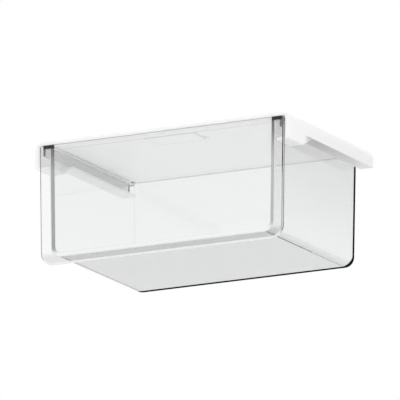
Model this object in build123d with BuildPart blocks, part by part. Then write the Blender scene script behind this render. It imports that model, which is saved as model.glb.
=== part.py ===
from build123d import *
import math
import os

# Clear drawer that slides in a white bracket stuck under a shelf.
# Millimetres. X runs across the drawer, -Y is the way it opens and +Z is up.
# Origin: middle of the tape's top face, where the bracket meets the shelf.

# ---- bracket: one white moulding; its width follows from the tray's ----
bracket_depth = 182.0
plate_thickness = 3.3
shoulder_radius = 8.5         # outer top corners, seen from the front
front_edge_radius = 1.0       # soft outline of the front and rear faces
skirt_thickness = 4.0
rail_depth = 17.3             # bracket top down to the underside of the rail
web_thickness = 2.5
web_reach = 10.5              # inward from the skirt's inner face
lug_depth = 27.4              # deeper front end of each rail
lug_length = 31.0
lug_slant_length = 19.0
lug_corner_radius = 2.5       # bottom outer corner of the lug

# ---- front bar and spring tongue under the plate ----
bar_drop = 2.4
bar_depth = 12.0
tongue_width = 52.0
tongue_length = 30.6          # behind the bar
tongue_thickness = 2.9
tongue_slot = 2.0
tongue_root = 4.0             # plate left whole behind the bar

# ---- drawer body: clear tray, open at the top and the front ----
tray_half_width = 123.4       # outside, at the rim
tray_length = 176.5
tray_depth = 113.0            # rim down to the underside
tray_draft = 0.85             # degrees, side walls and rear wall
wall_thickness = 3.0
floor_thickness = 3.0
tray_bottom_radius = 10.0
tray_rear_radius = 4.0        # round the rear wall's outline
rim_radius = 0.8
runner_thickness = 3.5        # flange along each side of the rim
runner_lip = 2.5              # its turned-down edge

# ---- front panel: clear plate that closes the tray ----
panel_thickness = 3.0
panel_height = 121.3
panel_draft = 0.8             # degrees, each side
panel_top_radius = 3.0
panel_bottom_radius = 12.5
panel_edge_radius = 0.9

# ---- mounting tape ----
tape_thickness = 1.0
tape_width = 20.0
tape_side_length = 150.0
tape_centre_length = 110.0
tape_side_inset = 16.0        # from the bracket's side
tape_rear_inset = 16.0        # from the bracket's rear
tape_corner_radius = 2.0

# ---- clearances ----
top_clearance = 0.5           # rim and panel below the plate
lip_clearance = 0.3           # runner lip above the web
closed_clearance = 0.4        # panel's back to the rail ends when shut
bar_clearance = 0.9           # panel's back to the bar when shut
bar_side_clearance = 1.2      # bar's ends to the tray walls
runner_side_clearance = 4.5   # runner to the skirt
web_clearance = 2.1           # tray wall to the web's inner edge
panel_side_clearance = 1.4    # panel's side to the skirt
open_clearance = 1.0          # rear wall to the tongue's tip when open

# ---- places that follow from the sizes above ----
web_inner_x = tray_half_width + web_clearance
skirt_inner_x = web_inner_x + web_reach
half_width = skirt_inner_x + skirt_thickness
panel_half_width = skirt_inner_x - panel_side_clearance
front_y = -bracket_depth / 2
rear_y = bracket_depth / 2
bracket_top_z = -tape_thickness
plate_under_z = bracket_top_z - plate_thickness
rail_under_z = bracket_top_z - rail_depth
web_top_z = rail_under_z + web_thickness
lug_under_z = bracket_top_z - lug_depth
lug_rear_y = front_y + lug_length
slant_rear_y = lug_rear_y + lug_slant_length

tray_front_y = front_y + panel_thickness
tray_rear_y = tray_front_y + tray_length
tray_top_z = plate_under_z - top_clearance
tray_bottom_z = tray_top_z - tray_depth
tray_inner_x = tray_half_width - wall_thickness
tray_inner_rear_y = tray_rear_y - wall_thickness
draft_slope = math.tan(math.radians(tray_draft))
foot_inset = tray_depth * draft_slope
cavity_depth = tray_depth - floor_thickness
cavity_inset = cavity_depth * draft_slope

rail_front_y = tray_front_y + closed_clearance
bar_front_y = tray_front_y + bar_clearance
bar_rear_y = bar_front_y + bar_depth
bar_under_z = plate_under_z - bar_drop
bar_half_width = tray_inner_x - bar_side_clearance
tongue_tip_y = bar_rear_y + tongue_length
window_front_y = bar_rear_y + tongue_root
window_rear_y = tongue_tip_y + tongue_slot

runner_outer_x = skirt_inner_x - runner_side_clearance
runner_under_z = tray_top_z - runner_thickness
runner_rear_y = tray_rear_y - tray_rear_radius
lip_under_z = web_top_z + lip_clearance
slide_travel = tray_inner_rear_y - open_clearance - tongue_tip_y

os.makedirs("parts", exist_ok=True)

# ---- mounting bracket ----
with BuildPart() as bracket:
    # Block as deep as the lugs, with rounded shoulders and feet.
    with BuildSketch(Plane.XZ.offset(-rear_y)) as outline:
        with Locations((0, (bracket_top_z + lug_under_z) / 2)):
            Rectangle(2 * half_width, lug_depth)
        fillet(outline.vertices().group_by(Axis.Y)[-1], shoulder_radius)
        fillet(outline.vertices().group_by(Axis.Y)[0], lug_corner_radius)
    extrude(amount=bracket_depth)

    # Behind the lugs only the rails stay.
    with BuildSketch(Plane.YZ) as behind_lugs:
        with BuildLine():
            Polyline(
                (lug_rear_y, lug_under_z),
                (slant_rear_y, rail_under_z),
                (rear_y, rail_under_z),
                (rear_y, lug_under_z),
                close=True,
            )
        make_face()
    extrude(amount=half_width, both=True, mode=Mode.SUBTRACT)

    # Runner channels, whose floor follows the lugs and the rails.
    with BuildSketch(Plane.YZ) as channel:
        with BuildLine():
            Polyline(
                (front_y, plate_under_z),
                (rear_y, plate_under_z),
                (rear_y, web_top_z),
                (slant_rear_y, web_top_z),
                (lug_rear_y, lug_under_z + web_thickness),
                (front_y, lug_under_z + web_thickness),
                close=True,
            )
        make_face()
    extrude(amount=skirt_inner_x, both=True, mode=Mode.SUBTRACT)

    # The drawer's way between the webs.
    mouth_height = plate_under_z - lug_under_z
    with BuildSketch(Plane.XZ.offset(-rear_y)) as drawer_way:
        with Locations((0, plate_under_z - mouth_height / 2)):
            Rectangle(2 * web_inner_x, mouth_height)
    extrude(amount=bracket_depth, mode=Mode.SUBTRACT)

    # The closed front panel sits between the skirts.
    with BuildSketch(Plane.XZ.offset(-rail_front_y)) as panel_seat:
        with Locations((0, plate_under_z - mouth_height / 2)):
            Rectangle(2 * skirt_inner_x, mouth_height)
    extrude(amount=rail_front_y - front_y, mode=Mode.SUBTRACT)

    # Front bar, and the tongue that hangs in its own window.
    with BuildSketch(Plane.XY.offset(bar_under_z)) as bar_plan:
        with Locations((0, (bar_front_y + bar_rear_y) / 2)):
            Rectangle(2 * bar_half_width, bar_depth)
    extrude(amount=bar_drop)
    with BuildSketch(Plane.XY.offset(plate_under_z)) as window_plan:
        with Locations((0, (window_front_y + window_rear_y) / 2)):
            Rectangle(tongue_width + 2 * tongue_slot, window_rear_y - window_front_y)
    extrude(amount=plate_thickness, mode=Mode.SUBTRACT)
    with BuildSketch(Plane.XY.offset(bar_under_z)) as tongue_plan:
        with Locations((0, (bar_rear_y + tongue_tip_y) / 2)):
            Rectangle(tongue_width, tongue_length)
    extrude(amount=tongue_thickness)

    # Soft outline at both ends; it runs on round the shoulders and feet.
    upright_edges = bracket.edges().filter_by(Axis.Z).group_by(Axis.X)
    fillet(upright_edges[0] + upright_edges[-1], front_edge_radius)
bracket.part.label = "mounting_bracket"
export_step(bracket.part, "parts/mounting_bracket.step")

# ---- room inside the tray, drafted like its walls ----
with BuildPart() as cavity:
    # It reaches one wall past the open front.
    cavity_bottom_z = tray_top_z - cavity_depth
    with BuildSketch(Plane.XZ.offset(-tray_inner_rear_y)) as cavity_section:
        with BuildLine():
            Polyline(
                (-tray_inner_x, tray_top_z),
                (tray_inner_x, tray_top_z),
                (tray_inner_x - cavity_inset, cavity_bottom_z),
                (cavity_inset - tray_inner_x, cavity_bottom_z),
                close=True,
            )
        make_face()
        cavity_corners = cavity_section.vertices().group_by(Axis.Y)[0]
        fillet(cavity_corners, tray_bottom_radius - wall_thickness)
    extrude(amount=tray_length)
    with BuildSketch(Plane.YZ) as cavity_lean:
        with BuildLine():
            Polyline(
                (tray_inner_rear_y, tray_top_z),
                (tray_inner_rear_y - cavity_inset, cavity_bottom_z),
                (tray_inner_rear_y, cavity_bottom_z),
                close=True,
            )
        make_face()
    extrude(amount=tray_inner_x, both=True, mode=Mode.SUBTRACT)
    cavity_rear_edges = cavity.faces().sort_by(Axis.Y)[-1].edges()
    fillet(cavity_rear_edges.sort_by(Axis.Z)[:-1], tray_rear_radius - wall_thickness)

# ---- drawer body ----
with BuildPart() as body:
    with BuildSketch(Plane.XZ.offset(-tray_rear_y)) as tray_section:
        with BuildLine():
            Polyline(
                (-tray_half_width, tray_top_z),
                (tray_half_width, tray_top_z),
                (tray_half_width - foot_inset, tray_bottom_z),
                (foot_inset - tray_half_width, tray_bottom_z),
                close=True,
            )
        make_face()
        fillet(tray_section.vertices().group_by(Axis.Y)[0], tray_bottom_radius)
    extrude(amount=tray_length)
    with BuildSketch(Plane.YZ) as tray_lean:
        with BuildLine():
            Polyline(
                (tray_rear_y, tray_top_z),
                (tray_rear_y - foot_inset, tray_bottom_z),
                (tray_rear_y, tray_bottom_z),
                close=True,
            )
        make_face()
    extrude(amount=tray_half_width, both=True, mode=Mode.SUBTRACT)
    tray_rear_edges = body.faces().sort_by(Axis.Y)[-1].edges()
    fillet(tray_rear_edges.sort_by(Axis.Z)[:-1], tray_rear_radius)

    # Runner flange and its turned-down lip along each side of the rim.
    runner_length = runner_rear_y - tray_front_y
    runner_mid_y = (tray_front_y + runner_rear_y) / 2
    runner_root_x = tray_half_width - wall_thickness / 2
    with BuildSketch(Plane.XY.offset(runner_under_z)) as runner_plan:
        for side in (-1, 1):
            with Locations((side * (runner_root_x + runner_outer_x) / 2, runner_mid_y)):
                Rectangle(runner_outer_x - runner_root_x, runner_length)
    extrude(amount=runner_thickness)
    with BuildSketch(Plane.XY.offset(lip_under_z)) as lip_plan:
        for side in (-1, 1):
            with Locations((side * (runner_outer_x - runner_lip / 2), runner_mid_y)):
                Rectangle(runner_lip, runner_length)
    extrude(amount=runner_under_z - lip_under_z)

    add(cavity.part, mode=Mode.SUBTRACT)
    rim_edges = body.faces().sort_by(Axis.Z)[-1].edges()
    fillet(
        [edge for edge in rim_edges if edge.center().Y > tray_front_y + rim_radius],
        rim_radius,
    )
body.part.label = "drawer_body"
export_step(body.part, "parts/drawer_body.step")

# ---- front panel ----
panel_foot_half = panel_half_width - panel_height * math.tan(math.radians(panel_draft))
panel_bottom_z = tray_top_z - panel_height
with BuildPart() as panel:
    with BuildSketch(Plane.XZ.offset(-tray_front_y)) as panel_outline:
        with BuildLine():
            Polyline(
                (-panel_half_width, tray_top_z),
                (panel_half_width, tray_top_z),
                (panel_foot_half, panel_bottom_z),
                (-panel_foot_half, panel_bottom_z),
                close=True,
            )
        make_face()
        fillet(panel_outline.vertices().group_by(Axis.Y)[-1], panel_top_radius)
        fillet(panel_outline.vertices().group_by(Axis.Y)[0], panel_bottom_radius)
    extrude(amount=panel_thickness)
    panel_faces = panel.faces().filter_by(Axis.Y).sort_by(Axis.Y)
    fillet(panel_faces[0].edges() + panel_faces[-1].edges(), panel_edge_radius)
panel.part.label = "front_panel"
export_step(panel.part, "parts/front_panel.step")

# ---- three strips of mounting tape ----
side_tape_x = half_width - tape_side_inset - tape_width / 2
tape_plan = {
    "tape_left": (-side_tape_x, tape_side_length),
    "tape_centre": (0.0, tape_centre_length),
    "tape_right": (side_tape_x, tape_side_length),
}
for tape_name, (tape_x, tape_length) in tape_plan.items():
    with BuildPart() as tape:
        with BuildSketch(Plane.XY.offset(bracket_top_z)):
            with Locations((tape_x, rear_y - tape_rear_inset - tape_length / 2)):
                RectangleRounded(tape_width, tape_length, tape_corner_radius)
        extrude(amount=tape_thickness)
    tape.part.label = tape_name
    export_step(tape.part, f"parts/{tape_name}.step")

print(f"slide travel {slide_travel:.2f} mm")
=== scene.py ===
"""Looks, light and camera for a clear drawer that hangs in a white bracket under a shelf.

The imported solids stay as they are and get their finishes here: satin white moulded plastic for the
bracket, clear polished plastic for the tray and its front panel, and white foam for the mounting tape.
"""

import logging
import math
from dataclasses import dataclass
from enum import Enum
from typing import Iterable, Sequence

import bmesh
import bpy
import numpy as np
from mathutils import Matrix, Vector


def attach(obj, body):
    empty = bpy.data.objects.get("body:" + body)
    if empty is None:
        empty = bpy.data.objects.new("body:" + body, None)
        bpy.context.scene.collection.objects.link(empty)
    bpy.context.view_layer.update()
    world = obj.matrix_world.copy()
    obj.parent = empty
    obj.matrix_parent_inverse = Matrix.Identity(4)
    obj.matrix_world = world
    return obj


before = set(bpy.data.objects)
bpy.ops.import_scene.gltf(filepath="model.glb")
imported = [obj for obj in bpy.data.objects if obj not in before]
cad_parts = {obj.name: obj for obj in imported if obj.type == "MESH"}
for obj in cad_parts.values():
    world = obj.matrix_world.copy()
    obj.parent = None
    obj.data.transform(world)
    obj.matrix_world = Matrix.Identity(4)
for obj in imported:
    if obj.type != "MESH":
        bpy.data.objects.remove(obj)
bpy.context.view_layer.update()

log = logging.getLogger("drawer")

Colour = tuple[float, float, float]


class Body(Enum):
    """The rigid bodies that pieces ride on."""

    BRACKET = "bracket"
    DRAWER = "drawer"


class Slot(Enum):
    """The record's material slots."""

    WHITE = "white_plastic"
    CLEAR = "clear_plastic"
    FOAM = "tape_foam"


class Graph:
    """Adds nodes to one node tree, laid out left to right, and links them."""

    def __init__(self, tree: bpy.types.NodeTree) -> None:
        """Keeps the tree that nodes go into.

        Args:
            tree: an empty or existing node tree.
        """
        self.tree = tree
        self.column = 0

    def add(self, kind: str, **settings: object) -> bpy.types.Node:
        """Adds one node.

        Args:
            kind: Blender's name of the node type, without "ShaderNode".
            settings: attributes of the node, or input values by name with spaces as underscores.

        Returns:
            The new node.
        """
        prefix = "" if kind.startswith("NodeGroup") else "ShaderNode"
        node = self.tree.nodes.new(prefix + kind)
        node.location = (self.column * 190, 0)
        self.column += 1
        for name, value in settings.items():
            if hasattr(node, name):
                setattr(node, name, value)
            else:
                node.inputs[name.replace("_", " ")].default_value = value
        return node

    def link(self, source: bpy.types.NodeSocket, target: bpy.types.NodeSocket) -> None:
        """Joins an output to an input."""
        self.tree.links.new(source, target)

    def remap(
        self,
        source: bpy.types.NodeSocket,
        low: float,
        high: float,
        to_low: float = 0.0,
        to_high: float = 1.0,
        smooth: bool = True,
    ) -> bpy.types.NodeSocket:
        """Maps a value's range onto another.

        Args:
            source: the value.
            low: value that becomes to_low.
            high: value that becomes to_high.
            to_low: result at low.
            to_high: result at high.
            smooth: eases both ends.

        Returns:
            The mapped value's socket.
        """
        node = self.add("MapRange", interpolation_type="SMOOTHSTEP" if smooth else "LINEAR")
        self.link(source, node.inputs["Value"])
        for name, value in zip(("From Min", "From Max", "To Min", "To Max"), (low, high, to_low, to_high)):
            node.inputs[name].default_value = value
        return node.outputs["Result"]

    def math(self, operation: str, *values: object) -> bpy.types.NodeSocket:
        """One arithmetic step on sockets or numbers.

        Args:
            operation: Blender's name of the operation.
            values: sockets or plain numbers, in order.

        Returns:
            The result's socket.
        """
        node = self.add("Math", operation=operation)
        for place, value in enumerate(values):
            if isinstance(value, (int, float)):
                node.inputs[place].default_value = value
            else:
                self.link(value, node.inputs[place])
        return node.outputs[0]

    def axes(self, source: bpy.types.NodeSocket) -> tuple[bpy.types.NodeSocket, ...]:
        """Splits a vector into its three numbers."""
        node = self.add("SeparateXYZ")
        self.link(source, node.inputs[0])
        return tuple(node.outputs)

    def product(self, *values: object) -> bpy.types.NodeSocket:
        """Multiplies two or more sockets or numbers."""
        result = values[0]
        for value in values[1:]:
            result = self.math("MULTIPLY", result, value)
        return result

    def largest(self, *values: object) -> bpy.types.NodeSocket:
        """Keeps the largest of two or more sockets or numbers."""
        result = values[0]
        for value in values[1:]:
            result = self.math("MAXIMUM", result, value)
        return result

    def blend_values(self, factor: object, first: object, second: object) -> bpy.types.NodeSocket:
        """Blends two numbers: the first where the factor is 0 and the second where it is 1."""
        first_share = self.math("MULTIPLY", self.math("SUBTRACT", 1.0, factor), first)
        return self.math("ADD", first_share, self.math("MULTIPLY", factor, second))

    def darken(self, colour: object, mask: object, level: float) -> bpy.types.NodeSocket:
        """Takes a colour down to a share of itself where a mask is 1.

        Args:
            colour: socket of the colour.
            mask: socket of the mask, 0 to 1.
            level: share of the colour that stays at 1.

        Returns:
            The colour's socket.
        """
        node = self.add("Mix", data_type="RGBA", blend_type="MULTIPLY")
        for place, value in ((0, mask), (6, colour)):
            self.link(value, node.inputs[place])
        node.inputs[7].default_value = (level, level, level, 1.0)
        return node.outputs[2]

    def blend(self, factor: object, first: object, second: object) -> bpy.types.NodeSocket:
        """Blends two colours.

        Args:
            factor: socket or number, 0 for the first colour and 1 for the second.
            first: colour or socket.
            second: colour or socket.

        Returns:
            The blended colour's socket.
        """
        node = self.add("Mix", data_type="RGBA")
        for place, value in ((0, factor), (6, first), (7, second)):
            if isinstance(value, bpy.types.NodeSocket):
                self.link(value, node.inputs[place])
            elif isinstance(value, (int, float)):
                node.inputs[place].default_value = value
            else:
                node.inputs[place].default_value = (*value, 1.0)
        return node.outputs[2]


def new_group(name: str, inputs: dict[str, float], outputs: Sequence[str]) -> bpy.types.NodeTree:
    """Makes an empty shader node group with float inputs and outputs and a vector called Place.

    Args:
        name: the group's name.
        inputs: name and default of each float input.
        outputs: names of the float outputs.

    Returns:
        The group.
    """
    group = bpy.data.node_groups.new(name, "ShaderNodeTree")
    group.interface.new_socket("Place", in_out="INPUT", socket_type="NodeSocketVector")
    for title, value in inputs.items():
        socket = group.interface.new_socket(title, in_out="INPUT", socket_type="NodeSocketFloat")
        socket.default_value = value
    for title in outputs:
        group.interface.new_socket(title, in_out="OUTPUT", socket_type="NodeSocketFloat")
    return group


def moulding_group() -> bpy.types.NodeTree:
    """Surface of a moulded part: a fine spark grain and the slow waves left by cooling.

    Grain is a noise of grain_size cells, and Waves a noise some 40 times longer, both from 0 to 1.

    Returns:
        The group, with outputs Grain and Waves.
    """
    group = new_group("moulded surface", {"Grain per metre": 4000.0, "Waves per metre": 45.0}, ("Grain", "Waves"))
    graph = Graph(group)
    inside, out = graph.add("NodeGroupInput"), graph.add("NodeGroupOutput")
    for title, scale, detail in (("Grain", "Grain per metre", 3.0), ("Waves", "Waves per metre", 2.0)):
        noise = graph.add("TexNoise", Detail=detail, Roughness=0.55)
        graph.link(inside.outputs["Place"], noise.inputs["Vector"])
        graph.link(inside.outputs[scale], noise.inputs["Scale"])
        graph.link(noise.outputs["Fac"], out.inputs[title])
    return group


def handling_group() -> bpy.types.NodeTree:
    """Traces of use: soft smudges in patches and hair-thin scratches that run at random.

    Smudge is a noise cut off below a half, and Scratch is the narrow ridge of a stretched noise.

    Returns:
        The group, with outputs Smudge and Scratch.
    """
    group = new_group("handling", {"Smudges per metre": 28.0, "Scratches per metre": 260.0}, ("Smudge", "Scratch"))
    graph = Graph(group)
    inside = graph.add("NodeGroupInput")
    patches = graph.add("TexNoise", Detail=4.0, Roughness=0.6, Distortion=0.8)
    graph.link(inside.outputs["Place"], patches.inputs["Vector"])
    graph.link(inside.outputs["Smudges per metre"], patches.inputs["Scale"])
    smudge = graph.remap(patches.outputs["Fac"], 0.5, 0.75)
    stretch = graph.add("Mapping")
    stretch.inputs["Rotation"].default_value = (0.3, 0.5, 0.8)
    stretch.inputs["Scale"].default_value = (1.0, 0.06, 0.6)
    graph.link(inside.outputs["Place"], stretch.inputs["Vector"])
    lines = graph.add("TexNoise", Detail=2.0, Distortion=1.5)
    graph.link(stretch.outputs["Vector"], lines.inputs["Vector"])
    graph.link(inside.outputs["Scratches per metre"], lines.inputs["Scale"])
    ridge = graph.math("ABSOLUTE", graph.math("SUBTRACT", lines.outputs["Fac"], 0.5))
    scratch = graph.remap(ridge, 0.004, 0.0)
    out = graph.add("NodeGroupOutput")
    graph.link(smudge, out.inputs["Smudge"])
    graph.link(scratch, out.inputs["Scratch"])
    return group


@dataclass(frozen=True)
class Finish:
    """What every finish has: its name, the groups it may use, and a shader."""

    name: str

    def start(self) -> tuple[bpy.types.Material, Graph, bpy.types.Node, bpy.types.NodeSocket]:
        """Makes the material with its Principled BSDF.

        Returns:
            The material, its graph, the shader, and the socket of Object coordinates.
        """
        material = bpy.data.materials.new(self.name)
        material.use_nodes = True
        graph = Graph(material.node_tree)
        shader = material.node_tree.nodes["Principled BSDF"]
        place = graph.add("TexCoord").outputs["Object"]
        return material, graph, shader, place

    def place_group(
        self, graph: Graph, tree: bpy.types.NodeTree, place: bpy.types.NodeSocket, **values: float
    ) -> bpy.types.Node:
        """Puts a shared group into the material with its own values.

        Args:
            graph: the material's graph.
            tree: the group.
            place: the coordinates it reads.
            values: its inputs, with spaces as underscores.

        Returns:
            The group's node.
        """
        node = graph.add("Group", node_tree=tree)
        graph.link(place, node.inputs["Place"])
        for title, value in values.items():
            node.inputs[title.replace("_", " ")].default_value = value
        return node

    def bump(
        self,
        graph: Graph,
        shader: bpy.types.Node,
        height: bpy.types.NodeSocket,
        strength: float,
        distance: float,
    ) -> None:
        """Feeds a height into the shader's normal."""
        node = graph.add("Bump", Strength=strength, Distance=distance)
        graph.link(height, node.inputs["Height"])
        graph.link(node.outputs["Normal"], shader.inputs["Normal"])


@dataclass(frozen=True)
class Outline:
    """A piece's outline across the drawer: straight sides that lean in by slope, and round lower corners."""

    half_width: float
    top_z: float
    bottom_z: float
    slope: float
    corner: float

    def distance(self, graph: Graph, x: object, z: object) -> bpy.types.NodeSocket:
        """Distance of a point outside the outline, in metres, and less than zero inside it.

        With q = (|x| - half width at that height + corner, bottom + corner - z), the distance is the
        length of q's positive part, plus q's larger number where both are negative, less corner.

        Args:
            graph: the material's graph.
            x: place across the drawer.
            z: height.

        Returns:
            The distance's socket.
        """
        lean = graph.product(graph.math("SUBTRACT", self.top_z, z), self.slope)
        across = graph.math("ADD", graph.math("ABSOLUTE", x), lean)
        across = graph.math("SUBTRACT", across, self.half_width - self.corner)
        down = graph.math("SUBTRACT", self.bottom_z + self.corner, z)
        squares = [graph.math("POWER", graph.math("MAXIMUM", part, 0.0), 2.0) for part in (across, down)]
        flat = graph.math("MINIMUM", graph.math("MAXIMUM", across, down), 0.0)
        reach = graph.math("ADD", graph.math("SQRT", graph.math("ADD", *squares)), flat)
        return graph.math("SUBTRACT", reach, self.corner)

    def path(self, start_z: float, corner_steps: int = 12) -> np.ndarray:
        """Points down the left side, along the bottom and up the right side, with their outward normals.

        The sides are straight from start_z to the corners, and each corner is a quarter circle in
        equal angles, so the normals turn from the side's to the bottom's.

        Args:
            start_z: height of the two ends.
            corner_steps: divisions of each corner.

        Returns:
            An array of rows (x, z, normal x, normal z).
        """
        angles = np.linspace(0.0, math.pi / 2, corner_steps + 1)
        normals = np.stack([np.cos(angles), -np.sin(angles)], axis=1)
        centre_z = self.bottom_z + self.corner
        centre_x = self.half_width - (self.top_z - centre_z) * self.slope - self.corner
        arc = np.array([centre_x, centre_z]) + normals * self.corner
        end_x = self.half_width - (self.top_z - start_z) * self.slope
        right = np.vstack([[end_x, start_z, 1.0, 0.0], np.hstack([arc, normals])])
        left = right * np.array([-1.0, 1.0, -1.0, 1.0])
        return np.vstack([left, right[::-1]])


TRAY = Outline(0.1234, -0.0048, -0.1178, 0.014837, 0.010)
PANEL = Outline(0.1346, -0.0048, -0.1261, 0.013964, 0.0125)


@dataclass(frozen=True)
class WhitePlastic(Finish):
    """Satin white moulded plastic that lets a little light through, a touch warmer in its slow waves, with painted
    shade under the right rail, along fine edge lines and on its sides.
    """

    colour: Colour = (0.955, 0.955, 0.953)
    shade: Colour = (0.94, 0.94, 0.935)
    roughness: tuple[float, float] = (0.34, 0.46)
    depth: float = 0.006
    rail_under_z: float = -0.0183
    rail_front_y: float = -0.041
    rail_rear_y: float = 0.091
    rail_shade: float = 0.55
    bar_front_y: float = -0.0871
    bar_rear_y: float = -0.0751
    bar_under_z: float = -0.0067
    tongue_x: float = 0.026
    tongue_tip_y: float = -0.0445
    slot_width: float = 0.002
    bar_x: float = 0.119
    painted_line_shade: float = 0.62
    side_x: float = 0.1395
    painted_side_shade: float = 0.87

    def under_rails(self, graph: Graph, place: bpy.types.NodeSocket) -> bpy.types.NodeSocket:
        """Mask of the painted shadow under the right rail, full at its lug and fading to the rear."""
        x, y, z = graph.axes(place)
        low = graph.remap(z, self.rail_under_z + 0.0006, self.rail_under_z + 0.0002)
        behind = graph.remap(y, self.rail_front_y - 0.019, self.rail_front_y - 0.004)
        fade = graph.remap(y, self.rail_front_y, self.rail_rear_y, 1.0, 0.52)
        return graph.product(low, behind, fade, graph.math("GREATER_THAN", x, 0.0))

    def lines(self, graph: Graph, place: bpy.types.NodeSocket) -> bpy.types.NodeSocket:
        """Mask of fine lines of painted shade along the bar's lower edges and round the spring tongue."""
        x, y, z = graph.axes(place)
        under = graph.math("LESS_THAN", z, self.bar_under_z + 0.0009)
        under = graph.product(under, graph.math("GREATER_THAN", z, self.bar_under_z - 0.0005))
        front = graph.product(graph.math("COMPARE", y, self.bar_front_y, 0.0016), 0.3)
        rear = graph.math("COMPARE", y, self.bar_rear_y, 0.0012)
        width = graph.math("ABSOLUTE", x)
        under = graph.product(under, graph.math("LESS_THAN", width, self.bar_x))
        tip = graph.product(graph.math("COMPARE", y, self.tongue_tip_y, 0.0012), 0.5)
        tip = graph.product(tip, graph.math("LESS_THAN", width, self.tongue_x + 0.001))
        edge = graph.product(graph.largest(front, rear, tip), under)
        slot = graph.math("COMPARE", width, self.tongue_x + self.slot_width / 2, 0.0006 + self.slot_width / 2)
        slot = graph.product(slot, graph.math("GREATER_THAN", y, self.bar_rear_y + 0.002))
        slot = graph.product(slot, graph.math("LESS_THAN", y, self.tongue_tip_y + self.slot_width + 0.0006))
        return graph.largest(edge, graph.product(slot, 0.6))

    def sides(self, graph: Graph, place: bpy.types.NodeSocket) -> bpy.types.NodeSocket:
        """Mask of the painted shade on the outer side faces, growing to the rear."""
        x, y, _ = graph.axes(place)
        side = graph.math("GREATER_THAN", graph.math("ABSOLUTE", x), self.side_x)
        return graph.product(side, graph.remap(y, -self.rail_rear_y, self.rail_rear_y, 0.25, 1.0, smooth=False))

    def material(self, moulded: bpy.types.NodeTree, handling: bpy.types.NodeTree) -> bpy.types.Material:
        """Builds the material.

        Args:
            moulded: the moulded surface group.
            handling: the handling group.

        Returns:
            The material.
        """
        material, graph, shader, place = self.start()
        surface = self.place_group(graph, moulded, place)
        use = self.place_group(graph, handling, place)
        colour = graph.blend(surface.outputs["Waves"], self.colour, self.shade)
        # painted shadow under the right rail
        colour = graph.darken(colour, self.under_rails(graph, place), self.rail_shade)
        # painted shade lines along the bar's edges and the tongue's slots
        colour = graph.darken(colour, self.lines(graph, place), self.painted_line_shade)
        # painted shade on the side faces
        colour = graph.darken(colour, self.sides(graph, place), self.painted_side_shade)
        graph.link(colour, shader.inputs["Base Color"])
        rough = graph.remap(surface.outputs["Grain"], 0.3, 0.7, *self.roughness)
        rough = graph.math("ADD", rough, graph.product(use.outputs["Smudge"], 0.06))
        graph.link(rough, shader.inputs["Roughness"])
        shader.inputs["IOR"].default_value = 1.46
        shader.inputs["Subsurface Weight"].default_value = 1.0
        shader.inputs["Subsurface Radius"].default_value = (1.0, 1.0, 1.0)
        shader.inputs["Subsurface Scale"].default_value = self.depth
        self.bump(graph, shader, surface.outputs["Grain"], 0.12, 0.00008)
        return material


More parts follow.
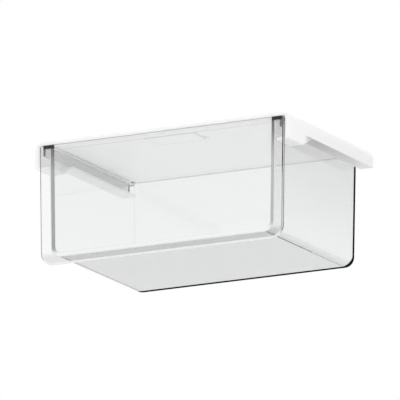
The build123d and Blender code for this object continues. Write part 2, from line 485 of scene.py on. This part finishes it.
@dataclass(frozen=True)
class ClearPlastic(Finish):
    """Clear polished plastic, whose round edges carry a painted dark reflection where they are looked at along
    their surface.

    The adhesive film between two clear pieces is real, but its colours are painted light: a grey line at the sides
    with painted shade, darkest at the top, and a white painted highlight along the floor.
    """

    face: Colour = (0.955, 0.96, 0.962)
    smudged: Colour = (0.935, 0.942, 0.945)
    soft: Colour = (0.997, 0.997, 0.997)
    # film colours are painted light: film_floor a painted highlight, film_left, film_right and film_top painted
    # shade
    film_floor: Colour = (0.97, 0.97, 0.968)
    film_left: Colour = (0.40, 0.40, 0.41)
    film_right: Colour = (0.52, 0.52, 0.53)
    film_top: Colour = (0.14, 0.14, 0.145)
    ior: float = 1.49
    painted_grey_level: float = 0.75
    # edge_level is the colour of the painted dark reflections
    edge_level: float = 0.03
    front_y: float = -0.088
    reach: float = 0.00003
    film_width: tuple[float, float] = (0.004, 0.0032)
    film_top_z: tuple[float, float] = (-0.035, -0.05)
    edge_facing: tuple[float, float] = (0.4, 0.65)
    runner_x: float = 0.1315
    runner_under_z: float = -0.0083
    lip_x: float = 0.129
    lip_under_z: float = -0.0155
    sheen_level: float = 0.7

    def edges(self, graph: Graph, x: object, y: object, z: object) -> bpy.types.NodeSocket:
        """Mask of the painted dark reflection on the piece's round edges, 0 to 1."""
        raise NotImplementedError

    def painted_grey(self, graph: Graph, x: object, y: object, z: object) -> bpy.types.NodeSocket:
        """Mask of painted shade, where the plastic looks a little greyer, 0 to 1."""
        raise NotImplementedError

    def painted_highlight(self, graph: Graph, x: object, y: object, z: object) -> bpy.types.NodeSocket:
        """Mask of a painted highlight, where an edge is drawn as catching the light, 0 to 1."""
        return graph.product(x, 0.0)

    def sheen(self, graph: Graph, x: object, y: object, z: object) -> bpy.types.NodeSocket:
        """Mask of outer faces that carry a painted reflection of a darker part of a room when seen from the side,
        0 to 1.
        """
        return graph.product(x, 0.0)

    def strip(self, graph: Graph, x: object, y: object, z: object) -> bpy.types.NodeSocket:
        """Mask of a painted dark reflection on outer faces close to a round edge, through which its dark side is
        seen, 0 to 1.
        """
        return graph.product(x, 0.0)

    def outline(self, graph: Graph, x: object, y: object, z: object) -> bpy.types.NodeSocket:
        """Mask of the places that carry a painted grey reflection only where they are seen almost along their
        surface, 0 to 1.
        """
        return graph.product(x, 0.0)

    def film(self, graph: Graph, x: object, y: object, z: object) -> tuple[bpy.types.NodeSocket, ...]:
        """The adhesive film, in the plane of the tray's front edge, inside its wall and runners, in painted
        colours: painted shade up the sides and a painted highlight along the floor.

        Args:
            graph: the material's graph.
            x: place across the drawer.
            y: place along the drawer.
            z: height.

        Returns:
            The film's mask and its colour.
        """
        near = graph.math("COMPARE", y, self.front_y, self.reach)
        gap = TRAY.distance(graph, x, z)
        right = graph.remap(x, -0.1, 0.1)
        inner = graph.remap(right, 0.0, 1.0, -self.film_width[0], -self.film_width[1], smooth=False)
        beyond = graph.math("GREATER_THAN", gap, inner)
        wall = graph.product(beyond, graph.math("LESS_THAN", gap, 0.0))
        width = graph.math("ABSOLUTE", x)
        inside = graph.math("LESS_THAN", width, self.runner_x)
        runner = graph.product(beyond, inside, graph.math("GREATER_THAN", z, self.runner_under_z))
        lip = graph.product(graph.math("GREATER_THAN", width, self.lip_x), inside)
        lip = graph.product(lip, graph.math("GREATER_THAN", z, self.lip_under_z))
        # painted shade: the film greys towards the top, and is darker on the left than on the right
        high_z = graph.remap(right, 0.0, 1.0, self.film_top_z[0], self.film_top_z[1], smooth=False)
        high = graph.math("DIVIDE", graph.math("SUBTRACT", z, high_z), graph.math("SUBTRACT", TRAY.top_z, high_z))
        high = graph.remap(high, 0.0, 1.0)
        # painted highlight: the film turns white along the floor
        low = graph.remap(z, TRAY.bottom_z + 0.009, TRAY.bottom_z + 0.002)
        colour = graph.blend(high, graph.blend(right, self.film_left, self.film_right), self.film_top)
        colour = graph.blend(low, colour, self.film_floor)
        # painted shade: near black over the runners
        colour = graph.blend(runner, colour, (0.004, 0.004, 0.004))
        return graph.product(near, graph.largest(wall, runner, lip)), colour

    def material(self, moulded: bpy.types.NodeTree, handling: bpy.types.NodeTree) -> bpy.types.Material:
        """Builds the material.

        Args:
            moulded: the moulded surface group; not used.
            handling: the handling group.

        Returns:
            The material.
        """
        material, graph, shader, place = self.start()
        use = self.place_group(graph, handling, place)
        x, y, z = graph.axes(place)
        edges, painted_grey = self.edges(graph, x, y, z), self.painted_grey(graph, x, y, z)
        facing = graph.add("LayerWeight", Blend=0.5).outputs["Facing"]
        outer = graph.math("SUBTRACT", 1.0, graph.add("NewGeometry").outputs["Backfacing"])
        sheen = graph.product(self.sheen(graph, x, y, z), outer, graph.remap(facing, 0.2, 0.55))
        tint = graph.blend(graph.product(use.outputs["Smudge"], 0.5), self.face, self.smudged)
        # painted shade greys the tint, and a painted reflection darkens outer faces seen from the side
        tint = graph.darken(graph.darken(tint, painted_grey, self.painted_grey_level), sheen, self.sheen_level)
        graph.link(tint, shader.inputs["Base Color"])
        rough = graph.product(use.outputs["Smudge"], 0.02)
        rough = graph.math("ADD", rough, graph.product(use.outputs["Scratch"], 0.05))
        graph.link(rough, shader.inputs["Roughness"])
        shader.inputs["IOR"].default_value = self.ior
        shader.inputs["Transmission Weight"].default_value = 1.0

        film, film_colour = self.film(graph, x, y, z)
        painted_highlight = self.painted_highlight(graph, x, y, z)
        # pale diffuse closure: the adhesive film in its painted colours, and the painted highlight
        pale = graph.add("BsdfDiffuse")
        graph.link(graph.blend(film, self.film_floor, film_colour), pale.inputs["Color"])
        solid = graph.add("MixShader")
        graph.link(graph.largest(film, painted_highlight), solid.inputs[0])
        graph.link(shader.outputs[0], solid.inputs[1])
        graph.link(pale.outputs[0], solid.inputs[2])

        # painted dark reflections: edges, strips and rims turn to a nearly black transparent closure
        dark = graph.product(edges, graph.remap(facing, *self.edge_facing))
        strip = graph.product(self.strip(graph, x, y, z), outer, graph.remap(facing, 0.35, 0.5))
        rims = graph.product(self.outline(graph, x, y, z), graph.remap(facing, 0.8, 0.97))
        dark = graph.largest(dark, strip, rims)
        path = graph.add("LightPath")
        soft = graph.largest(path.outputs["Is Shadow Ray"], path.outputs["Is Diffuse Ray"])
        clear = graph.add("BsdfTransparent")
        level = (self.edge_level,) * 3
        graph.link(graph.blend(soft, level, self.soft), clear.inputs["Color"])
        mix = graph.add("MixShader")
        graph.link(graph.largest(soft, dark), mix.inputs[0])
        graph.link(solid.outputs[0], mix.inputs[1])
        graph.link(clear.outputs[0], mix.inputs[2])
        graph.link(mix.outputs[0], material.node_tree.nodes["Material Output"].inputs["Surface"])
        return material


@dataclass(frozen=True)
class TrayPlastic(ClearPlastic):
    """The tray's clear plastic: painted dark reflections round its rear outline, and painted shade that is greyer
    towards the top of its walls.
    """

    rear_y: float = 0.0885
    radius: float = 0.004
    rim: float = 0.0011
    strip_depth: tuple[float, float] = (0.0074, 0.0098)

    def behind(self, graph: Graph, y: object, z: object) -> bpy.types.NodeSocket:
        """Distance behind the rear wall's outside, which leans, and less than zero in front of it."""
        lean = graph.product(graph.math("SUBTRACT", TRAY.top_z, z), TRAY.slope)
        return graph.math("SUBTRACT", graph.math("ADD", y, lean), self.rear_y)

    def edges(self, graph: Graph, x: object, y: object, z: object) -> bpy.types.NodeSocket:
        """Mask of painted dark reflection on the rear wall's round edge, and less on its rim."""
        near_rear = graph.remap(self.behind(graph, y, z), -self.radius, -0.8 * self.radius)
        near_side = graph.remap(TRAY.distance(graph, x, z), -self.radius, -0.8 * self.radius)
        rim = graph.remap(z, TRAY.top_z - self.rim, TRAY.top_z - 0.3 * self.rim)
        rim = graph.product(rim, graph.remap(self.behind(graph, y, z), -0.008, -0.006), 0.9)
        return graph.largest(graph.product(near_rear, near_side), rim)

    def strip(self, graph: Graph, x: object, y: object, z: object) -> bpy.types.NodeSocket:
        """Mask of painted dark reflection on the outer side and floor just in front of the rear wall's edge, and
        less of the left corner.
        """
        outside = graph.math("GREATER_THAN", TRAY.distance(graph, x, z), -0.0005)
        depth = graph.remap(z, TRAY.bottom_z + TRAY.corner, TRAY.bottom_z + 0.001, *self.strip_depth)
        depth = graph.math("ADD", self.behind(graph, y, z), depth)
        low = graph.remap(z, TRAY.bottom_z + 0.8 * TRAY.corner, TRAY.bottom_z + 0.4 * TRAY.corner)
        across = graph.math("SUBTRACT", graph.product(graph.math("SUBTRACT", TRAY.top_z, z), TRAY.slope), x)
        corner = graph.remap(across, TRAY.half_width - 1.15 * TRAY.corner, TRAY.half_width - 1.02 * TRAY.corner)
        corner = graph.product(low, corner, 0.24)
        return graph.product(outside, graph.largest(graph.remap(depth, 0.0, 0.0008), corner))

    def outline(self, graph: Graph, x: object, y: object, z: object) -> bpy.types.NodeSocket:
        """Mask of painted grey reflection on the outer round corners along the floor and up the rear."""
        outside = graph.math("GREATER_THAN", TRAY.distance(graph, x, z), -0.0012)
        low = graph.remap(z, TRAY.bottom_z + TRAY.corner, TRAY.bottom_z + 0.6 * TRAY.corner)
        rear = graph.remap(self.behind(graph, y, z), -self.radius, -0.5 * self.radius)
        return graph.product(graph.largest(graph.product(outside, low), rear), 0.4)

    def sheen(self, graph: Graph, x: object, y: object, z: object) -> bpy.types.NodeSocket:
        """Mask of the painted reflection on the outer faces of the side walls, growing towards the rim."""
        outside = graph.math("GREATER_THAN", TRAY.distance(graph, x, z), -0.0005)
        return graph.product(outside, graph.remap(z, TRAY.bottom_z, TRAY.top_z, 0.15, 0.95, smooth=False))

    def painted_grey(self, graph: Graph, x: object, y: object, z: object) -> bpy.types.NodeSocket:
        """Mask of painted shade that grows a little up the walls, with the floor and the rear rim added."""
        walls = graph.remap(z, TRAY.bottom_z, TRAY.top_z, 0.1, 0.25, smooth=False)
        floor = graph.remap(z, TRAY.bottom_z + 0.0045, TRAY.bottom_z + 0.003, 0.0, 0.85)
        rim = graph.remap(z, TRAY.top_z - 0.0016, TRAY.top_z - 0.001)
        rim = graph.product(rim, graph.remap(self.behind(graph, y, z), -0.006, -0.005))
        return graph.largest(walls, floor, rim)


@dataclass(frozen=True)
class PanelPlastic(ClearPlastic):
    """The front panel's clear plastic: painted dark reflections round its sides and top, and a painted highlight
    along its lower edge.
    """

    edge_radius: float = 0.0009
    edge_facing: tuple[float, float] = (0.0, 0.04)
    line_y: float = -0.0897
    line_width: float = 0.0009
    line_inset: float = 0.0006

    def edges(self, graph: Graph, x: object, y: object, z: object) -> bpy.types.NodeSocket:
        """Mask of painted dark reflection on the front edge along the sides, strongest high up on the right, and
        on the top.
        """
        on_right = graph.math("GREATER_THAN", x, 0.0)
        gap = graph.math("ADD", PANEL.distance(graph, x, z), graph.product(on_right, self.line_inset))
        side = graph.remap(gap, -1.3 * self.line_width, -self.line_width)
        side = graph.product(side, graph.remap(gap, 0.3 * self.line_width, 0.0))
        side = graph.product(side, graph.math("LESS_THAN", y, self.line_y))
        side = graph.product(side, graph.remap(z, PANEL.bottom_z + 0.004, PANEL.bottom_z + PANEL.corner))
        weight = graph.remap(z, -0.072, -0.048, 0.45, 0.95)
        weight = graph.blend_values(on_right, 0.7, weight)
        top = graph.remap(z, PANEL.top_z - self.edge_radius, PANEL.top_z - 0.7 * self.edge_radius)
        return graph.largest(graph.product(side, weight), graph.product(top, 0.25))

    def painted_grey(self, graph: Graph, x: object, y: object, z: object) -> bpy.types.NodeSocket:
        """Mask of painted shade on the part that stands past the tray, mostly below it."""
        past = graph.remap(TRAY.distance(graph, x, z), -0.001, 0.002)
        return graph.product(past, graph.remap(z, TRAY.bottom_z + 0.006, TRAY.bottom_z - 0.001, 0.1, 0.8))

    def painted_highlight(self, graph: Graph, x: object, y: object, z: object) -> bpy.types.NodeSocket:
        """Mask of the painted highlight along the lower edge."""
        low = graph.remap(PANEL.distance(graph, x, z), -0.0022, -0.0012)
        return graph.product(low, graph.remap(z, PANEL.bottom_z + 0.009, PANEL.bottom_z + 0.003), 0.75)


@dataclass(frozen=True)
class BondBead(Finish):
    """The bead of set adhesive along the joint: pale, glossy and faintly milky."""

    colour: Colour = (0.97, 0.97, 0.965)
    dips: Colour = (0.90, 0.90, 0.895)

    def material(self, moulded: bpy.types.NodeTree) -> bpy.types.Material:
        """Builds the material.

        Args:
            moulded: the moulded surface group.

        Returns:
            The material.
        """
        material, graph, shader, place = self.start()
        surface = self.place_group(graph, moulded, place, Waves_per_metre=220.0)
        graph.link(graph.blend(surface.outputs["Waves"], self.colour, self.dips), shader.inputs["Base Color"])
        graph.link(graph.remap(surface.outputs["Grain"], 0.2, 0.8, 0.12, 0.25), shader.inputs["Roughness"])
        self.bump(graph, shader, surface.outputs["Waves"], 0.4, 0.0002)
        return material


@dataclass(frozen=True)
class TapeFoam(Finish):
    """White closed-cell foam between two smooth adhesive films: small round cells on its sides, with painted shade
    in them.

    The thin foam lets light through, so that the plate under it isn't shaded.
    """

    colour: Colour = (0.80, 0.80, 0.79)
    pores: Colour = (0.62, 0.62, 0.61)
    film: Colour = (0.86, 0.855, 0.83)
    top_z: float = 0.0
    bottom_z: float = -0.001
    film_depth: float = 0.00012

    def material(self, moulded: bpy.types.NodeTree) -> bpy.types.Material:
        """Builds the material.

        Args:
            moulded: the moulded surface group.

        Returns:
            The material.
        """
        material, graph, shader, place = self.start()
        surface = self.place_group(graph, moulded, place, Waves_per_metre=90.0)
        cells = graph.add("TexVoronoi", Scale=2200.0)
        graph.link(place, cells.inputs["Vector"])
        # painted shade in the foam's open cells, varied by the slow waves
        pore = graph.remap(cells.outputs["Distance"], 0.15, 0.45, 1.0, 0.0)
        pore_shade = graph.product(pore, graph.remap(surface.outputs["Waves"], 0.3, 0.7, 0.5, 1.0))
        z = graph.axes(place)[2]
        upper = graph.remap(z, self.top_z - self.film_depth * 1.3, self.top_z - self.film_depth)
        lower = graph.remap(z, self.bottom_z + self.film_depth * 1.3, self.bottom_z + self.film_depth)
        film = graph.largest(upper, lower)
        foam = graph.blend(pore_shade, self.colour, self.pores)
        graph.link(graph.blend(film, foam, self.film), shader.inputs["Base Color"])
        dull = graph.remap(surface.outputs["Grain"], 0.2, 0.8, 0.8, 0.95)
        dull = graph.math("SUBTRACT", dull, graph.product(film, 0.4))
        graph.link(dull, shader.inputs["Roughness"])
        self.bump(graph, shader, cells.outputs["Distance"], 0.5, 0.0002)
        path = graph.add("LightPath")
        clear = graph.add("BsdfTransparent")
        mix = graph.add("MixShader")
        graph.link(graph.largest(path.outputs["Is Shadow Ray"], path.outputs["Is Diffuse Ray"]), mix.inputs[0])
        graph.link(shader.outputs[0], mix.inputs[1])
        graph.link(clear.outputs[0], mix.inputs[2])
        graph.link(mix.outputs[0], material.node_tree.nodes["Material Output"].inputs["Surface"])
        return material


def dress(names: Iterable[str], material: bpy.types.Material) -> None:
    """Gives CAD nodes a finish, in every material slot that they have.

    Args:
        names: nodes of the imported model.
        material: the finish.
    """
    for name in names:
        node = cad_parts[name]
        if not node.material_slots:
            node.data.materials.append(material)
        for slot in node.material_slots:
            slot.material = material
        log.info("%s dressed in %s", name, material.name)


def swept_mesh(name: str, rings: np.ndarray) -> bpy.types.Mesh:
    """A closed tube from rings of points: neighbours joined by quads, and each end closed by a face.

    Args:
        name: the mesh's name.
        rings: array of rings, points per ring and three places.

    Returns:
        The mesh, with its faces pointing outwards.
    """
    count, size, _ = rings.shape
    ring, point = np.meshgrid(np.arange(count - 1), np.arange(size), indexing="ij")
    after = (point + 1) % size
    corners = (ring * size + point, ring * size + after, (ring + 1) * size + after, (ring + 1) * size + point)
    faces = np.stack(corners, axis=-1).reshape(-1, 4).tolist()
    faces += [list(range(size))[::-1], list(range((count - 1) * size, count * size))]
    mesh = bpy.data.meshes.new(name)
    mesh.from_pydata(rings.reshape(-1, 3).tolist(), [], faces)
    solid = bmesh.new()
    solid.from_mesh(mesh)
    bmesh.ops.recalc_face_normals(solid, faces=solid.faces)
    solid.to_mesh(mesh)
    solid.free()
    for face in mesh.polygons:
        face.use_smooth = len(face.vertices) == 4
    return mesh


@dataclass
class ClearDrawer:
    """The sliding drawer: tray, front panel and the bead of adhesive that joins them.

    Lengths are in metres.
    """

    front_y: float = -0.088
    bead_radius: float = 0.0009
    bead_start_z: float = -0.0085
    bead_steps: int = 6

    def bead_mesh(self) -> bpy.types.Mesh:
        """The bead: a quarter-round profile carried along the tray's outline behind the panel.

        Each point of the profile lies out along the outline's normal by radius x cos(angle), and back
        from the panel by radius x sin(angle); the profile's last point is the corner itself.

        Returns:
            The bead's mesh.
        """
        path = TRAY.path(self.bead_start_z)
        angles = np.linspace(0.0, math.pi / 2, self.bead_steps + 1)
        out = np.append(np.cos(angles), 0.0) * self.bead_radius
        back = np.append(np.sin(angles), 0.0) * self.bead_radius
        x = path[:, :1] + path[:, 2:3] * out
        z = path[:, 1:2] + path[:, 3:4] * out
        y = np.broadcast_to(self.front_y + back, x.shape)
        return swept_mesh("bond_bead", np.stack([x, y, z], axis=-1))

    def build(self, moulded: bpy.types.NodeTree, handling: bpy.types.NodeTree) -> None:
        """Dresses the two clear solids and makes the bead.

        Args:
            moulded: the moulded surface group.
            handling: the handling group.
        """
        dress(["drawer_body"], TrayPlastic("clear tray").material(moulded, handling))
        dress(["front_panel"], PanelPlastic("clear panel").material(moulded, handling))
        bead = bpy.data.objects.new("bond_bead", self.bead_mesh())
        bpy.context.scene.collection.objects.link(bead)
        bead.data.materials.append(BondBead("adhesive bead").material(moulded))
        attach(bead, Body.DRAWER.value)
        log.info("%s made, rides on %s", bead.name, Body.DRAWER.value)


@dataclass
class Bracket:
    """The white bracket and the tape on top of it."""

    tapes: tuple[str, ...] = ("tape_left", "tape_centre", "tape_right")

    def build(self, moulded: bpy.types.NodeTree, handling: bpy.types.NodeTree) -> None:
        """Dresses the bracket and its tape.

        Args:
            moulded: the moulded surface group.
            handling: the handling group.
        """
        dress(["mounting_bracket"], WhitePlastic("satin white plastic").material(moulded, handling))
        dress(self.tapes, TapeFoam("tape foam").material(moulded))


@dataclass
class Studio:
    """A white room: pale floor well below the part, even light and a long lens.

    Lengths are in metres and angles in degrees.
    """

    azimuth: float = 27.59
    elevation: float = -13.85
    frame_width: float = 0.39216
    lens: float = 1200.0
    sensor: float = 36.0
    aim: tuple[float, float, float] = (-0.0044, -0.0010, -0.0544)
    floor_z: float = -0.45
    floor_reach: float = 4.0
    floor_colour: Colour = (0.87, 0.87, 0.87)
    world_strength: float = 1.0
    bounces: int = 32

    def camera(self) -> bpy.types.Object:
        """Makes the camera, right, in front and below, looking at the middle of the photograph's frame.

        Returns:
            The camera object.
        """
        a, e = math.radians(self.azimuth), math.radians(self.elevation)
        back = Vector((math.sin(a) * math.cos(e), -math.cos(a) * math.cos(e), math.sin(e)))
        data = bpy.data.cameras.new("camera")
        data.lens, data.sensor_width = self.lens, self.sensor
        distance = self.frame_width * self.lens / self.sensor
        data.clip_start, data.clip_end = 0.1, distance * 4
        made = bpy.data.objects.new("camera", data)
        made.location = Vector(self.aim) + back * distance
        made.rotation_mode = "QUATERNION"
        made.rotation_quaternion = (-back).to_track_quat("-Z", "Y")
        bpy.context.scene.collection.objects.link(made)
        bpy.context.scene.camera = made
        return made

    def floor(self) -> bpy.types.Object:
        """Makes the floor, which shows only from above, so that the view from below looks past it.

        Returns:
            The floor object.
        """
        reach = self.floor_reach
        corners = [(-reach, -reach, self.floor_z), (reach, -reach, self.floor_z)]
        corners += [(reach, reach, self.floor_z), (-reach, reach, self.floor_z)]
        mesh = bpy.data.meshes.new("floor")
        mesh.from_pydata(corners, [], [(0, 1, 2, 3)])
        made = bpy.data.objects.new("floor", mesh)
        bpy.context.scene.collection.objects.link(made)
        material = bpy.data.materials.new("floor")
        material.use_nodes = True
        graph = Graph(material.node_tree)
        shader = material.node_tree.nodes["Principled BSDF"]
        place = graph.add("TexCoord").outputs["Object"]
        clouds = graph.add("TexNoise", Scale=3.0, Detail=3.0)
        graph.link(place, clouds.inputs["Vector"])
        paler = tuple(channel + 0.015 for channel in self.floor_colour)
        graph.link(graph.blend(clouds.outputs["Fac"], self.floor_colour, paler), shader.inputs["Base Color"])
        shader.inputs["Roughness"].default_value = 0.7
        clear = graph.add("BsdfTransparent")
        side = graph.add("NewGeometry").outputs["Backfacing"]
        mix = graph.add("MixShader")
        graph.link(side, mix.inputs[0])
        graph.link(shader.outputs[0], mix.inputs[1])
        graph.link(clear.outputs[0], mix.inputs[2])
        graph.link(mix.outputs[0], material.node_tree.nodes["Material Output"].inputs["Surface"])
        mesh.materials.append(material)
        return made

    def world(self) -> None:
        """White world: strength 1 to the camera, through clear pieces and in reflections, and world_strength as
        light.
        """
        world = bpy.data.worlds.new("studio")
        bpy.context.scene.world = world
        world.use_nodes = True
        graph = Graph(world.node_tree)
        light = world.node_tree.nodes["Background"]
        light.inputs["Color"].default_value = (1.0, 1.0, 1.0, 1.0)
        path = graph.add("LightPath")
        seen = graph.math("MAXIMUM", path.outputs["Is Camera Ray"], path.outputs["Is Transmission Ray"])
        seen = graph.math("MAXIMUM", seen, path.outputs["Is Glossy Ray"])
        level = graph.remap(seen, 0.0, 1.0, self.world_strength, 1.0, smooth=False)
        graph.link(level, light.inputs["Strength"])

    def build(self) -> None:
        """Makes camera, floor, world and colour settings."""
        self.camera()
        self.floor()
        self.world()
        scene = bpy.context.scene
        scene.view_settings.view_transform = "Standard"
        scene.cycles.max_bounces = self.bounces
        scene.cycles.glossy_bounces = self.bounces
        scene.cycles.transmission_bounces = self.bounces
        scene.cycles.transparent_max_bounces = self.bounces


def main() -> None:
    logging.basicConfig(level=logging.INFO, format="%(name)s: %(message)s")
    moulded, handling = moulding_group(), handling_group()
    Bracket().build(moulded, handling)
    ClearDrawer().build(moulded, handling)
    Studio().build()


if __name__ == "__main__":
    main()
